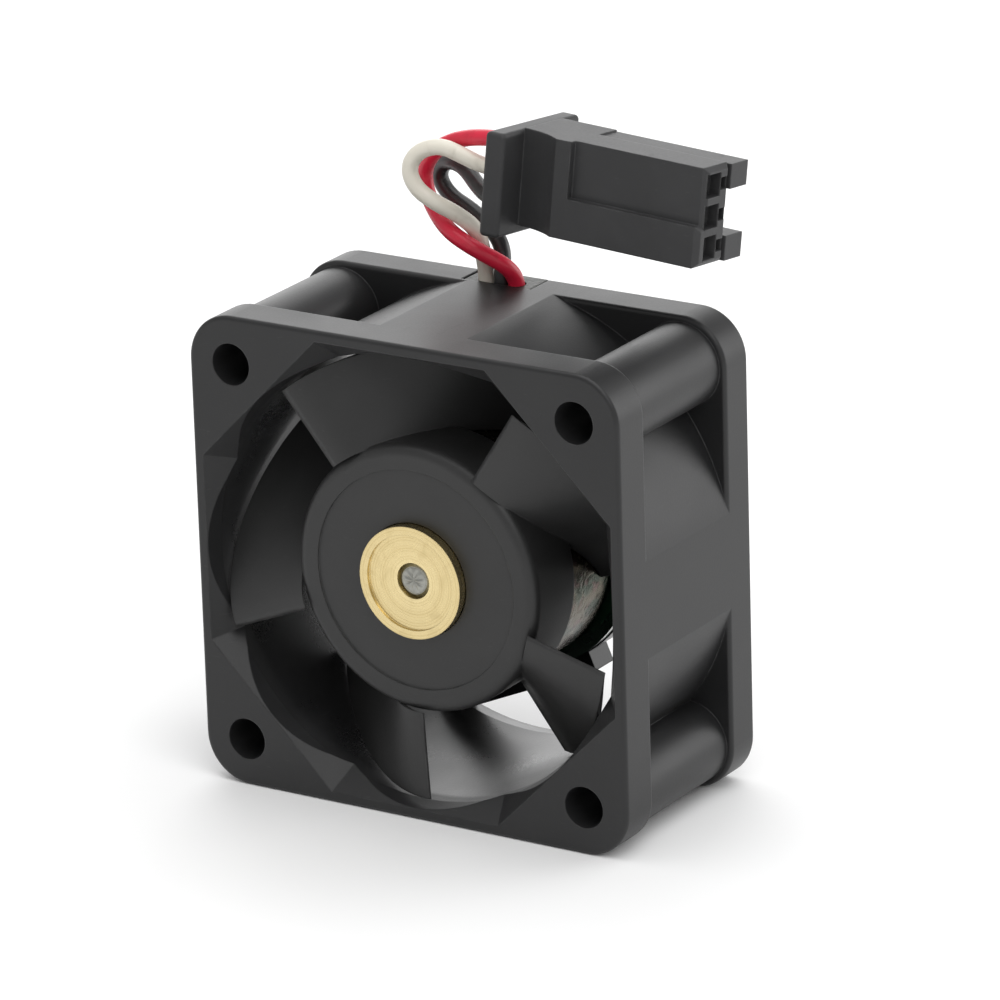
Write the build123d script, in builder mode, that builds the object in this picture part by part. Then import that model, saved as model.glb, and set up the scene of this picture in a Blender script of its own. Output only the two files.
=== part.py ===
from build123d import *
import os
from math import cos, degrees, pi, radians, sin, sqrt, tan

os.makedirs("parts", exist_ok=True)

# A small axial fan with ball bearings, standing upright on one edge of its housing.
# The rotor side is the front and faces -Y, the shaft lies along Y, and Z is up.
# Depths are counted backwards from the front face, radii from the shaft axis.

# Housing
frame_size = 40.0
frame_depth = 20.0
corner_radius = 4.0
hole_spacing = 32.0
hole_diameter = 3.5
front_flange = 4.0
rear_flange = 3.6
edge_radius = 0.35
boss_diameter = 7.0
duct_margin = 1.25
duct_wall = 1.65
mouth_margin = 0.9
mouth_depth = 2.4
mouth_slope = 0.77
lip_depth = 1.6
lip_growth = 0.3

# Motor base and struts at the back of the housing
base_radius = 12.0
base_thickness = 1.6
rim_width = 1.0
rim_height = 2.2
socket_radius = 5.2
socket_height = 1.7
socket_floor = 0.95
socket_gap = 0.15
strut_width = 2.0
strut_depth = 2.8
strut_offset = 12.6
strut_angle = 293.6
strut_tail = 1.5
strut_sink = 0.8
strut_spacing = 90.0

# Lead exit: a channelled strut and a notch in the top edge
lead_diameter = 1.35
lead_pitch = 1.45
lead_middle = -1.5
lead_joint_drop = 4.0
channel_clearance = 0.15
channel_wall = 0.8
channel_floor = 1.4
notch_width = 6.6
notch_depth = 0.8
notch_length = 3.1
sealant_sink = 0.1

# Impeller
hub_front = 1.2
hub_radius = 11.2
hub_skirt_end = 7.2
hub_wall = 1.1
hub_skirt = 0.5
hub_edge = 0.9
hub_step_radius = 9.2
hub_step = 0.15
blade_count = 5
blade_front = 0.8
blade_setback = 7.8
blade_angle = 56.8
tip_clearance = 0.35
blade_root_radius = 10.0
blade_root_sweep = 51.0
blade_root_curl = 14.0
blade_tip_sweep = 52.0
blade_root_power = 0.5
blade_tip_power = 0.69
blade_edge_thickness = 0.45
blade_mid_thickness = 0.8
blade_nose_taper = 0.35
blade_nose_share = 0.1
rim_clearance = 0.15

# Brass hub boss
boss_front = 0.45
boss_radius = 4.7
boss_rim = 0.7
boss_rim_step = 0.3
boss_dish = 0.25
boss_flange_back = 1.8
boss_body_radius = 3.9
stake_radius = 4.3
stake_height = 0.4
fit_gap = 0.05

# Rotor cup and magnet
yoke_wall = 0.8
yoke_clearance = 1.6
magnet_wall = 1.2
magnet_front = 4.2
magnet_setback = 0.2

# Shaft, bearings and what lies on the shaft
shaft_diameter = 3.0
shaft_front = 1.15
shaft_overrun = 0.7
shaft_chamfer = 0.35
bearing_diameter = 7.0
bearing_width = 3.0
front_bearing_depth = 5.2
bearing_recess = 1.5
race_thickness = 0.55
ball_diameter = 1.1
ball_count = 7
ball_clearance = 0.03
cage_width = 1.5
cage_thickness = 0.3
shield_thickness = 0.15
shield_inset = 0.1
washer_thickness = 0.2
washer_radius = 2.4
ring_thickness = 0.4
ring_radius = 2.5
ring_opening = 1.4
groove_depth = 0.3
spring_wire = 0.3
spring_radius = 2.05
spring_turns = 2.0

# Bearing tube
tube_radius = 4.2
tube_front = 4.9
tube_shoulder_radius = 3.0

# Stator
stator_radius = 8.2
stator_front = 6.2
stator_clearance = 3.4
stator_ring_radius = 5.3
tooth_count = 4
tooth_width = 2.2
shoe_thickness = 0.8
slot_opening = 2.0
insulator_thickness = 0.8
insulator_lip = 1.0
insulator_lip_width = 0.5
coil_build = 1.1
coil_clearance = 0.1

# Circuit board and its parts
board_radius = 11.9
board_thickness = 1.0
board_hole_radius = 4.8
pin_diameter = 0.5
sensor_size = 1.5
sensor_radius = 9.2
chip_size = 3.0
chip_height = 0.9
chip_radius = 8.4
capacitor_length = 1.8
capacitor_width = 1.0
resistor_length = 1.2
resistor_width = 0.7
resistor_height = 0.45
solder_radius = 0.6
conductor_radius = 0.3
lead_end_radius = 9.9
solder_place_radius = 9.1

# Connector, in its own frame: length, depth and height from its near top corner
connector_corner = (1.25, 1.69, 54.54)
connector_turn = (-6.1, 3.0, -1.4)
shoulder_length = 1.8
shoulder_depth = 11.2
shoulder_height = 8.5
shoulder_round = 0.4
body_front = 1.7
body_back = 8.4
body_top = 0.13
body_bottom = 7.8
step_length = 7.0
nose_length = 19.25
nose_back = 5.8
nose_recess = 0.65
nose_chamfer = 0.4
ledge_top = 4.5
rail_gap = 0.35
rail_height = 2.0
rail_root = 1.0
hook_length = 1.2
hook_overhang = 0.2
scoop_depth = 1.3
scoop_length = 3.8
pole_pitch = 2.5
pole_middle = 3.85
pole_depth = 4.0
wire_hole = 1.6
wire_run = 6.5
chamber_depth = 3.55
mouth_width = 1.8
mouth_height = 1.9
mouth_recess = 1.0
key_size = 1.0
key_depth = 5.0
key_recess = 3.0
contact_size = 1.3
contact_bore = 0.8
contact_setback = 1.2

# Routes of the three free leads, from the notch to the connector
red_route = [
    (-0.05, 7.875, 36.00),
    (-0.05, 7.875, 38.10),
    (-0.05, 7.83, 40.30),
    (-0.28, 6.81, 41.65),
    (-1.51, 5.91, 42.63),
    (-3.02, 5.27, 43.56),
    (-5.06, 5.57, 44.41),
    (-6.80, 6.40, 45.60),
    (-7.90, 6.90, 47.10),
    (-8.00, 6.90, 48.80),
    (-6.80, 6.50, 50.50),
    (-4.73, 6.13, 51.82),
    (-2.00, 5.70, 52.60),
    (1.28, 5.52, 52.77),
    (4.47, 5.44, 52.63),
    (7.77, 5.32, 52.45),
]
white_route = [
    (-2.95, 7.875, 36.00),
    (-2.95, 7.875, 38.10),
    (-2.95, 7.83, 40.50),
    (-3.06, 7.57, 42.34),
    (-3.12, 6.93, 44.35),
    (-4.15, 5.62, 45.88),
    (-5.50, 4.40, 47.00),
    (-7.00, 3.90, 48.20),
    (-7.60, 3.90, 49.80),
    (-6.60, 4.09, 51.30),
    (-4.68, 4.36, 51.88),
    (-2.87, 4.74, 51.16),
    (-1.30, 5.20, 50.40),
    (1.15, 5.26, 50.29),
    (4.35, 5.18, 50.15),
    (7.64, 5.06, 49.97),
]
black_route = [
    (-1.50, 7.875, 36.00),
    (-1.50, 7.875, 38.10),
    (-1.50, 7.83, 40.50),
    (-1.63, 8.47, 42.42),
    (-2.85, 8.81, 43.91),
    (-4.80, 8.91, 45.20),
    (-7.10, 9.10, 46.10),
    (-8.20, 9.20, 47.60),
    (-7.10, 8.80, 49.20),
    (-4.60, 7.50, 49.40),
    (-2.30, 6.00, 48.30),
    (-0.90, 5.30, 47.80),
    (1.02, 4.99, 47.80),
    (4.22, 4.91, 47.67),
    (7.51, 4.79, 47.48),
]

# Values worked out from the ones above
axis_height = frame_size / 2
mid_depth = frame_depth / 2
duct_radius = frame_size / 2 - duct_margin
duct_outer_radius = duct_radius + duct_wall
mouth_flats = frame_size - 2 * mouth_margin
notch_front = frame_depth - notch_length
lead_joint_height = frame_size - lead_joint_drop
base_front = frame_depth - base_thickness
socket_back = frame_depth - socket_floor
board_back = base_front - rim_height
board_front = board_back - board_thickness
tube_back = socket_back - socket_gap
blade_back = frame_depth - blade_setback
blade_tip_radius = duct_radius - tip_clearance
blade_length = blade_back - blade_front
yoke_radius = hub_radius - hub_skirt - fit_gap
yoke_front = hub_front + hub_wall
yoke_back = board_front - yoke_clearance
yoke_inner_radius = yoke_radius - yoke_wall
magnet_outer_radius = yoke_inner_radius - fit_gap
magnet_inner_radius = magnet_outer_radius - magnet_wall
magnet_back = yoke_back - magnet_setback
stator_back = board_front - stator_clearance
boss_body_back = yoke_front + yoke_wall
boss_back = boss_body_back + stake_height
shaft_radius = shaft_diameter / 2
inner_race_radius = shaft_radius + race_thickness
outer_race_radius = bearing_diameter / 2 - race_thickness
ball_circle = (inner_race_radius + outer_race_radius) / 2
rear_bearing_back = tube_back - bearing_recess
rear_bearing_depth = rear_bearing_back - bearing_width
ring_front = rear_bearing_back + washer_thickness
shaft_back = ring_front + ring_thickness + shaft_overrun
front_washer_depth = front_bearing_depth - washer_thickness
channel_width = 2 * lead_pitch + lead_diameter + 2 * channel_clearance
lead_depth = frame_depth - channel_floor - lead_diameter / 2 - fit_gap
lead_places = [lead_middle + lead_pitch * step for step in (-1, 0, 1)]
shoe_inner_radius = stator_radius - shoe_thickness
pin_circle = stator_radius - shoe_thickness / 2
rotor_axis = Axis((0, 0, axis_height), (0, 1, 0))
section_plane = Plane(origin=(0, -mid_depth, axis_height), x_dir=(1, 0, 0), z_dir=(0, 0, 1))
connector_plane = Plane.XY.move(Location(connector_corner, connector_turn))


def face_plane(depth):
    """Plane across the shaft at a depth, as seen from the front: x right, y up."""
    return Plane(origin=(0, depth - mid_depth, axis_height), x_dir=(1, 0, 0), z_dir=(0, -1, 0))


def around(radius, angle):
    """Sketch point at a radius and an angle in degrees."""
    return (radius * cos(radians(angle)), radius * sin(radians(angle)))


def turn_profile(points, mode=Mode.ADD):
    """Turn a closed (radius, depth) outline about the shaft in the open part."""
    with BuildSketch(section_plane) as profile:
        with BuildLine():
            Polyline(*points, close=True)
        make_face()
    revolve(profile.sketch, axis=rotor_axis, mode=mode)


def turn_ring(inner, outer, front, back):
    """Add a plain ring between two radii and two depths to the open part."""
    turn_profile([(inner, front), (outer, front), (outer, back), (inner, back)])


def save(piece, name):
    """Name a finished piece and write it to its own file."""
    piece.part.label = name
    export_step(piece.part, "parts/" + name + ".step")


def flange(front, thickness):
    """Square flange with rounded corners and softened rims."""
    with BuildPart() as plate:
        with BuildSketch(face_plane(front)):
            RectangleRounded(frame_size, frame_size, corner_radius)
        extrude(amount=-thickness)
        for side in (0, -1):
            fillet(plate.faces().sort_by(Axis.Y)[side].outer_wire().edges(), edge_radius)
    return plate.part


# Housing: two square flanges, a round duct, four corner bosses, base and struts
front_plate = flange(0, front_flange)
rear_plate = flange(frame_depth - rear_flange, rear_flange)
with BuildPart() as frame:
    add(front_plate)
    add(rear_plate)
    with BuildSketch(face_plane(front_flange / 2)):
        Circle(duct_outer_radius)
        Rectangle(frame_size, frame_size, mode=Mode.INTERSECT)
        with GridLocations(hole_spacing, hole_spacing, 2, 2):
            Circle(boss_diameter / 2)
    extrude(amount=-(frame_depth - front_flange / 2 - rear_flange / 2))
    # Bore with a small lip at each end
    bore_profile = [
        (0, 0),
        (duct_radius + lip_growth, 0),
        (duct_radius, lip_depth),
        (duct_radius, frame_depth - lip_depth),
        (duct_radius + lip_growth, frame_depth),
        (0, frame_depth),
    ]
    turn_profile(bore_profile, mode=Mode.SUBTRACT)
    # Eight-sided mouth whose flats slope in to the bore
    for depth in (0, mouth_depth):
        with BuildSketch(face_plane(depth)):
            RegularPolygon(mouth_flats / 2 - mouth_slope * depth, 8, major_radius=False, rotation=22.5)
    loft(mode=Mode.SUBTRACT)
    with BuildSketch(face_plane(0)):
        with GridLocations(hole_spacing, hole_spacing, 2, 2):
            Circle(hole_diameter / 2)
    extrude(amount=-frame_depth, mode=Mode.SUBTRACT)
    # Motor base: a floor, a rim that carries the board and a socket for the bearing tube
    turn_ring(0, base_radius, base_front, frame_depth)
    turn_ring(base_radius - rim_width, base_radius, board_back, base_front)
    turn_ring(0, socket_radius, base_front - socket_height, base_front)
    # Three struts leave the base at a tangent and run out to the duct wall
    root_radius = base_radius - rim_width / 2
    tip_radius = duct_radius + strut_sink
    strut_reach = sqrt(tip_radius**2 - strut_offset**2)
    for step in (0, 1, 3):
        with BuildSketch(face_plane(frame_depth - strut_depth)):
            with Locations(Location((0, 0), strut_angle + step * strut_spacing)):
                with Locations((strut_offset, (strut_tail - strut_reach) / 2)):
                    Rectangle(strut_width, strut_reach + strut_tail)
        extrude(amount=-strut_depth)
    # A straight strut at the top holds the leads in a channel open to the front
    lead_strut_width = channel_width + 2 * channel_wall
    with BuildSketch(face_plane(notch_front)):
        with Locations((lead_middle, (root_radius + tip_radius) / 2)):
            Rectangle(lead_strut_width, tip_radius - root_radius)
    extrude(amount=-(frame_depth - notch_front))
    with BuildSketch(face_plane(notch_front)):
        with Locations((lead_middle, (lead_end_radius + axis_height) / 2)):
            Rectangle(channel_width, axis_height - lead_end_radius)
    extrude(amount=-(frame_depth - channel_floor - notch_front), mode=Mode.SUBTRACT)
    # Notch in the top edge where the leads come out
    with BuildSketch(face_plane(notch_front)):
        with Locations((lead_middle, axis_height - notch_depth / 2)):
            Rectangle(notch_width, notch_depth)
    extrude(amount=-(frame_depth - notch_front), mode=Mode.SUBTRACT)
    socket_bore = [
        (0, base_front - socket_height),
        (tube_radius + fit_gap, base_front - socket_height),
        (tube_radius + fit_gap, socket_back),
        (0, socket_back),
    ]
    turn_profile(socket_bore, mode=Mode.SUBTRACT)
save(frame, "frame")


# Impeller: a hub over the rotor cup and five cambered blades
def blade_sweep(share, root):
    """Sweep of the blade in degrees and its slope at a share of its depth."""
    sweep = blade_root_sweep if root else blade_tip_sweep
    power = blade_root_power if root else blade_tip_power
    curl = blade_root_curl if root else 0
    slope = sweep * power * max(share, 0.03) ** (power - 1) + curl * 4 * share**3
    return sweep * share**power + curl * share**4, radians(slope) / blade_length


def blade_corner(share, root, side):
    """Corner of a blade slice, at its root or tip and on one of its two sides."""
    radius = blade_root_radius if root else duct_radius
    sweep, slope = blade_sweep(share, root)
    growth = (blade_mid_thickness - blade_edge_thickness) * 4 * share * (1 - share)
    taper = blade_nose_taper + (1 - blade_nose_taper) * min(1, share / blade_nose_share)
    half = taper * (blade_edge_thickness + growth) / 2 * sqrt(1 + (radius * slope) ** 2)
    return around(radius, blade_angle - sweep + side * degrees(half / radius))


with BuildPart() as blade:
    for share in (0.0, 0.05, 0.15, 0.32, 0.54, 0.77, 1.0):
        with BuildSketch(face_plane(blade_front + share * blade_length)):
            with BuildLine():
                corners = [(True, -1), (False, -1), (False, 1), (True, 1)]
                Polyline(*[blade_corner(share, root, side) for root, side in corners], close=True)
            make_face()
    loft()
    # Trim to the tip circle, and keep clear of the rim of the hub face
    with BuildSketch(face_plane(0)):
        Circle(blade_tip_radius)
    extrude(amount=-frame_depth, mode=Mode.INTERSECT)
    with BuildSketch(face_plane(0)):
        Circle(hub_radius - rim_clearance)
    extrude(amount=-(hub_front + hub_edge), mode=Mode.SUBTRACT)

with BuildPart() as impeller:
    hub_profile = [
        (boss_radius + fit_gap, hub_front + hub_step),
        (hub_step_radius, hub_front + hub_step),
        (hub_step_radius, hub_front),
        (hub_radius, hub_front),
        (hub_radius, hub_skirt_end),
        (hub_radius - hub_skirt, hub_skirt_end),
        (hub_radius - hub_skirt, yoke_front),
        (boss_radius + fit_gap, yoke_front),
    ]
    turn_profile(hub_profile)
    hub_rims = impeller.edges().filter_by(GeomType.CIRCLE)
    hub_rims = hub_rims.filter_by(lambda rim: abs(rim.radius - hub_radius) < fit_gap)
    fillet(hub_rims.sort_by(Axis.Y)[0], hub_edge)
    for index in range(blade_count):
        add(blade.part.rotate(rotor_axis, index * 360 / blade_count))
    inside = [
        (0, yoke_front),
        (hub_radius - hub_skirt, yoke_front),
        (hub_radius - hub_skirt, frame_depth),
        (0, frame_depth),
    ]
    turn_profile(inside, mode=Mode.SUBTRACT)
save(impeller, "impeller")

# Brass boss that joins the cup, the hub and the shaft
with BuildPart() as hub_boss:
    boss_profile = [
        (shaft_radius, boss_front + boss_rim_step + boss_dish),
        (boss_radius - boss_rim, boss_front + boss_rim_step),
        (boss_radius - boss_rim, boss_front),
        (boss_radius, boss_front),
        (boss_radius, boss_flange_back),
        (boss_body_radius, boss_flange_back),
        (boss_body_radius, boss_body_back),
        (stake_radius, boss_body_back),
        (boss_body_radius, boss_back),
        (shaft_radius, boss_back),
    ]
    turn_profile(boss_profile)
save(hub_boss, "hub_boss")

with BuildPart() as rotor_yoke:
    yoke_profile = [
        (boss_body_radius, boss_flange_back),
        (boss_radius, boss_flange_back),
        (boss_radius, yoke_front),
        (yoke_radius, yoke_front),
        (yoke_radius, yoke_back),
        (yoke_inner_radius, yoke_back),
        (yoke_inner_radius, yoke_front + yoke_wall),
        (boss_body_radius, yoke_front + yoke_wall),
    ]
    turn_profile(yoke_profile)
save(rotor_yoke, "rotor_yoke")

with BuildPart() as magnet_ring:
    turn_ring(magnet_inner_radius, magnet_outer_radius, magnet_front, magnet_back)
save(magnet_ring, "magnet_ring")

with BuildPart() as shaft:
    groove_radius = shaft_radius - groove_depth
    shaft_profile = [
        (0, shaft_front),
        (shaft_radius - shaft_chamfer, shaft_front),
        (shaft_radius, shaft_front + shaft_chamfer),
        (shaft_radius, ring_front),
        (groove_radius, ring_front),
        (groove_radius, ring_front + ring_thickness),
        (shaft_radius, ring_front + ring_thickness),
        (shaft_radius, shaft_back - shaft_chamfer),
        (shaft_radius - shaft_chamfer, shaft_back),
        (0, shaft_back),
    ]
    turn_profile(shaft_profile)
save(shaft, "shaft")


# Two deep-groove ball bearings
def groove(middle):
    """Cut the ball track of a bearing race in the open part."""
    with BuildSketch(section_plane) as track:
        with Locations((ball_circle, middle)):
            Circle(ball_diameter / 2 + ball_clearance)
    revolve(track.sketch, axis=rotor_axis, mode=Mode.SUBTRACT)


def ball_points(middle):
    """Centres of the balls of one bearing."""
    places = [around(ball_circle, index * 360 / ball_count) for index in range(ball_count)]
    return [(x, middle - mid_depth, z + axis_height) for x, z in places]


for bearing_name, bearing_front in (("front", front_bearing_depth), ("rear", rear_bearing_depth)):
    bearing_back = bearing_front + bearing_width
    bearing_middle = bearing_front + bearing_width / 2
    with BuildPart() as inner_race:
        turn_ring(shaft_radius, inner_race_radius, bearing_front, bearing_back)
        groove(bearing_middle)
    save(inner_race, bearing_name + "_inner_race")
    with BuildPart() as outer_race:
        turn_ring(outer_race_radius, bearing_diameter / 2, bearing_front, bearing_back)
        groove(bearing_middle)
    save(outer_race, bearing_name + "_outer_race")
    with BuildPart() as balls:
        with Locations(*ball_points(bearing_middle)):
            Sphere(ball_diameter / 2)
    save(balls, bearing_name + "_balls")
    with BuildPart() as cage:
        half_cage = cage_thickness / 2
        cage_front = bearing_middle - cage_width / 2
        turn_ring(ball_circle - half_cage, ball_circle + half_cage, cage_front, cage_front + cage_width)
        for x, y, z in ball_points(bearing_middle):
            with BuildSketch(Plane(origin=(x, y, z), x_dir=(0, 1, 0), z_dir=(x, 0, z - axis_height))):
                Circle(ball_diameter / 2 + ball_clearance)
            extrude(amount=cage_thickness, both=True, mode=Mode.SUBTRACT)
    save(cage, bearing_name + "_cage")
    with BuildPart() as shields:
        shield_edge = inner_race_radius + fit_gap
        first = bearing_front + shield_inset
        last = bearing_back - shield_inset
        turn_ring(shield_edge, outer_race_radius, first, first + shield_thickness)
        turn_ring(shield_edge, outer_race_radius, last - shield_thickness, last)
    save(shields, bearing_name + "_shields")

with BuildPart() as bearing_tube:
    shoulder_front = front_bearing_depth + bearing_width
    tube_profile = [
        (bearing_diameter / 2, tube_front),
        (tube_radius, tube_front),
        (tube_radius, tube_back),
        (bearing_diameter / 2, tube_back),
        (bearing_diameter / 2, rear_bearing_depth),
        (tube_shoulder_radius, rear_bearing_depth),
        (tube_shoulder_radius, shoulder_front),
        (bearing_diameter / 2, shoulder_front),
    ]
    turn_profile(tube_profile)
save(bearing_tube, "bearing_tube")

with BuildPart() as shaft_washers:
    turn_ring(shaft_radius, washer_radius, front_washer_depth, front_bearing_depth)
    turn_ring(shaft_radius, washer_radius, rear_bearing_back, ring_front)
save(shaft_washers, "shaft_washers")

with BuildPart() as retaining_ring:
    turn_ring(shaft_radius - groove_depth, ring_radius, ring_front, ring_front + ring_thickness)
    with BuildSketch(face_plane(ring_front)):
        with Locations((0, -ring_radius)):
            Rectangle(ring_opening, 2 * ring_radius - shaft_diameter * 0.4)
    extrude(amount=-ring_thickness, mode=Mode.SUBTRACT)
save(retaining_ring, "retaining_ring")

# Coil spring that takes up the play between the boss and the front bearing
with BuildPart() as preload_spring:
    spring_start = boss_back + spring_wire / 2 + fit_gap
    spring_height = front_washer_depth - spring_wire / 2 - fit_gap - spring_start
    with BuildLine() as coil_line:
        spring_foot = (0, spring_start - mid_depth, axis_height)
        spring_pitch = spring_height / spring_turns
        Helix(spring_pitch, spring_height, spring_radius, center=spring_foot, direction=(0, 1, 0))
    with BuildSketch(Plane(origin=coil_line.line @ 0, z_dir=coil_line.line % 0)):
        Circle(spring_wire / 2)
    sweep(path=coil_line.line, is_frenet=True)
save(preload_spring, "preload_spring")


# Stator on the bearing tube
def stator_outline(shrink):
    """Sketch the toothed outline of the stator, drawn in by a small amount."""
    Circle(stator_radius - shrink)
    Circle(shoe_inner_radius, mode=Mode.SUBTRACT)
    with PolarLocations(stator_radius, tooth_count, start_angle=180 / tooth_count):
        Rectangle(4 * shoe_thickness, slot_opening + 2 * shrink, mode=Mode.SUBTRACT)
    tooth_length = shoe_inner_radius - stator_ring_radius + shoe_thickness
    with PolarLocations(stator_ring_radius + (tooth_length - shoe_thickness / 2) / 2, tooth_count):
        Rectangle(tooth_length, tooth_width)
    Circle(stator_ring_radius)
    Circle(tube_radius + fit_gap, mode=Mode.SUBTRACT)


with BuildPart() as stator_core:
    with BuildSketch(face_plane(stator_front)):
        stator_outline(0)
    extrude(amount=-(stator_back - stator_front))
save(stator_core, "stator_core")

front_insulator_edge = stator_front - insulator_thickness
rear_insulator_edge = stator_back + insulator_thickness
insulators = (
    ("front_insulator", front_insulator_edge, stator_front, front_insulator_edge - insulator_lip),
    ("rear_insulator", stator_back, rear_insulator_edge, rear_insulator_edge),
)
for insulator_name, plate_front, plate_back, lip_front in insulators:
    with BuildPart() as insulator:
        with BuildSketch(face_plane(plate_front)):
            stator_outline(fit_gap)
        extrude(amount=-(plate_back - plate_front))
        with BuildSketch(face_plane(lip_front)):
            Circle(stator_radius - fit_gap)
            Circle(stator_radius - insulator_lip_width, mode=Mode.SUBTRACT)
            with PolarLocations(stator_radius, tooth_count, start_angle=180 / tooth_count):
                Rectangle(4 * shoe_thickness, 2 * slot_opening, mode=Mode.SUBTRACT)
        extrude(amount=-insulator_lip)
    save(insulator, insulator_name)

# One winding round each tooth
with BuildPart() as coils:
    coil_start = stator_ring_radius + coil_clearance
    bobbin_width = tooth_width + 2 * coil_clearance
    bobbin_depth = rear_insulator_edge - front_insulator_edge + 2 * coil_clearance
    coil_middle = (front_insulator_edge + rear_insulator_edge) / 2 - mid_depth
    for index in range(tooth_count):
        tooth_angle = radians(index * 360 / tooth_count)
        outward = (cos(tooth_angle), 0, sin(tooth_angle))
        origin = (coil_start * outward[0], coil_middle, axis_height + coil_start * outward[2])
        with BuildSketch(Plane(origin=origin, x_dir=(0, 1, 0), z_dir=outward)):
            RectangleRounded(bobbin_depth + 2 * coil_build, bobbin_width + 2 * coil_build, coil_build)
            Rectangle(bobbin_depth, bobbin_width, mode=Mode.SUBTRACT)
        extrude(amount=shoe_inner_radius - coil_start)
    with BuildSketch(face_plane(0)):
        Circle(shoe_inner_radius - coil_clearance)
    extrude(amount=-frame_depth, mode=Mode.INTERSECT)
save(coils, "coils")

# Circuit board on the rim of the base, with its parts on the front
with BuildPart() as circuit_board:
    turn_ring(board_hole_radius, board_radius, board_front, board_back)
    with BuildSketch(face_plane(board_front)):
        with PolarLocations(pin_circle, tooth_count - 1):
            Circle(pin_diameter / 2 + fit_gap)
    extrude(amount=-board_thickness, mode=Mode.SUBTRACT)
save(circuit_board, "circuit_board")

with BuildPart() as terminal_pins:
    pin_front = rear_insulator_edge + insulator_lip
    with BuildSketch(face_plane(pin_front)):
        with PolarLocations(pin_circle, tooth_count - 1):
            Circle(pin_diameter / 2)
    extrude(amount=-(board_back + pin_diameter - pin_front))
save(terminal_pins, "terminal_pins")


def board_block(radius, angle, length, width, height):
    """Add a rounded block that stands on the front of the board to the open part."""
    with BuildSketch(face_plane(board_front - height)) as block:
        with Locations(Location(around(radius, angle), angle + 90)):
            RectangleRounded(length, width, width / 10)
    extrude(block.sketch, amount=-height)


with BuildPart() as hall_sensor:
    board_block(sensor_radius, 45, sensor_size, sensor_size, chip_height)
save(hall_sensor, "hall_sensor")

with BuildPart() as driver_chip:
    board_block(chip_radius, 225, chip_size, chip_size, chip_height)
save(driver_chip, "driver_chip")

with BuildPart() as capacitor:
    board_block(chip_radius, 135, capacitor_length, capacitor_width, chip_height)
save(capacitor, "capacitor")

with BuildPart() as resistors:
    for angle in (300, 315, 330):
        board_block(chip_radius + resistor_width, angle, resistor_length, resistor_width, resistor_height)
save(resistors, "resistors")

# Solder joints and bared ends where the leads meet the back of the board
with BuildPart() as solder_joints:
    for place in lead_places:
        with BuildSketch(face_plane(board_back)):
            with Locations((place, solder_place_radius)):
                Circle(solder_radius)
        extrude(amount=-(lead_depth + conductor_radius - board_back), taper=8)
        joint_origin = (place, lead_depth - mid_depth, axis_height + solder_place_radius)
        with BuildSketch(Plane(origin=joint_origin, z_dir=(0, 0, 1))):
            Circle(conductor_radius)
        extrude(amount=lead_end_radius - solder_place_radius)
save(solder_joints, "solder_joints")

# The stretch of each lead that lies in the channel
for colour, place in zip(("white", "black", "red"), lead_places):
    with BuildPart() as inner_lead:
        inner_origin = (place, lead_depth - mid_depth, axis_height + lead_end_radius)
        with BuildSketch(Plane(origin=inner_origin, z_dir=(0, 0, 1))):
            Circle(lead_diameter / 2)
        extrude(amount=lead_joint_height - axis_height - lead_end_radius)
    save(inner_lead, "inner_lead_" + colour)


# Free leads: straight runs joined by tangent arcs, each as large as its runs allow
def corner_radii(route):
    """Arc radius at each inner point of a route."""
    points = [Vector(*point) for point in route]
    radii = []
    for before, here, after in zip(points, points[1:], points[2:]):
        turn = radians((here - before).get_angle(after - here))
        shorter = min((here - before).length, (after - here).length)
        radii.append(0.45 * shorter / tan(turn / 2))
    return radii


lead_tubes = {}
for colour, route in (("red", red_route), ("white", white_route), ("black", black_route)):
    radii = corner_radii(route)
    with BuildPart() as lead:
        with BuildLine() as lead_line:
            FilletPolyline(*route, radius=radii)
        with BuildSketch(Plane(origin=lead_line.line @ 0, z_dir=lead_line.line % 0)):
            Circle(lead_diameter / 2)
        sweep(path=lead_line.line)
    save(lead, "lead_" + colour)
    lead_tubes[colour] = lead.part
    length = sum(edge.length for edge in lead_line.edges())
    tube_share = lead.part.volume / (pi * lead_diameter**2 / 4 * length)
    print(colour, "lead", round(length, 2), "mm, volume share", round(tube_share, 4))
    print("  radii", [round(radius, 1) for radius in radii])

# Bead of sealant that fills the notch round the leads
with BuildPart() as lead_sealant:
    sealant_length = frame_depth - notch_front - 2 * sealant_sink
    with BuildSketch(face_plane(notch_front + sealant_sink)):
        with Locations((lead_middle, axis_height - notch_depth / 2)):
            Rectangle(notch_width - 2 * fit_gap, notch_depth - 2 * fit_gap)
    extrude(amount=-sealant_length)
    bead_corners = lead_sealant.edges().filter_by(Axis.Y).group_by(Axis.Z)[-1]
    fillet(bead_corners, notch_depth / 3)
    with BuildSketch(Plane(origin=(lead_middle, lead_depth - mid_depth, lead_joint_height), z_dir=(0, 0, 1))):
        SlotOverall(2 * lead_pitch + lead_diameter + 2 * fit_gap, lead_diameter + 2 * fit_gap)
    extrude(amount=frame_size - lead_joint_height, mode=Mode.SUBTRACT)
save(lead_sealant, "lead_sealant")


# Connector
def connector_level(height):
    """Plane parallel to the top of the connector, at a height below its corner."""
    return connector_plane.offset(-height)


def connector_block(lengths, depths, heights, mode=Mode.ADD):
    """Add a block given by its ranges of length, depth and height below the corner."""
    with BuildSketch(connector_level(heights[1])) as block:
        with Locations(((lengths[0] + lengths[1]) / 2, (depths[0] + depths[1]) / 2)):
            Rectangle(lengths[1] - lengths[0], depths[1] - depths[0])
    extrude(block.sketch, amount=heights[1] - heights[0], mode=mode)


def across_nose(length):
    """Plane across the connector at a length, x back and y up, facing the mating end."""
    side = connector_plane.from_local_coords((length, 0, 0))
    return Plane(origin=side, x_dir=connector_plane.y_dir, z_dir=connector_plane.x_dir)


pole_heights = [pole_middle + pole_pitch * step for step in (-1, 0, 1)]

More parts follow.
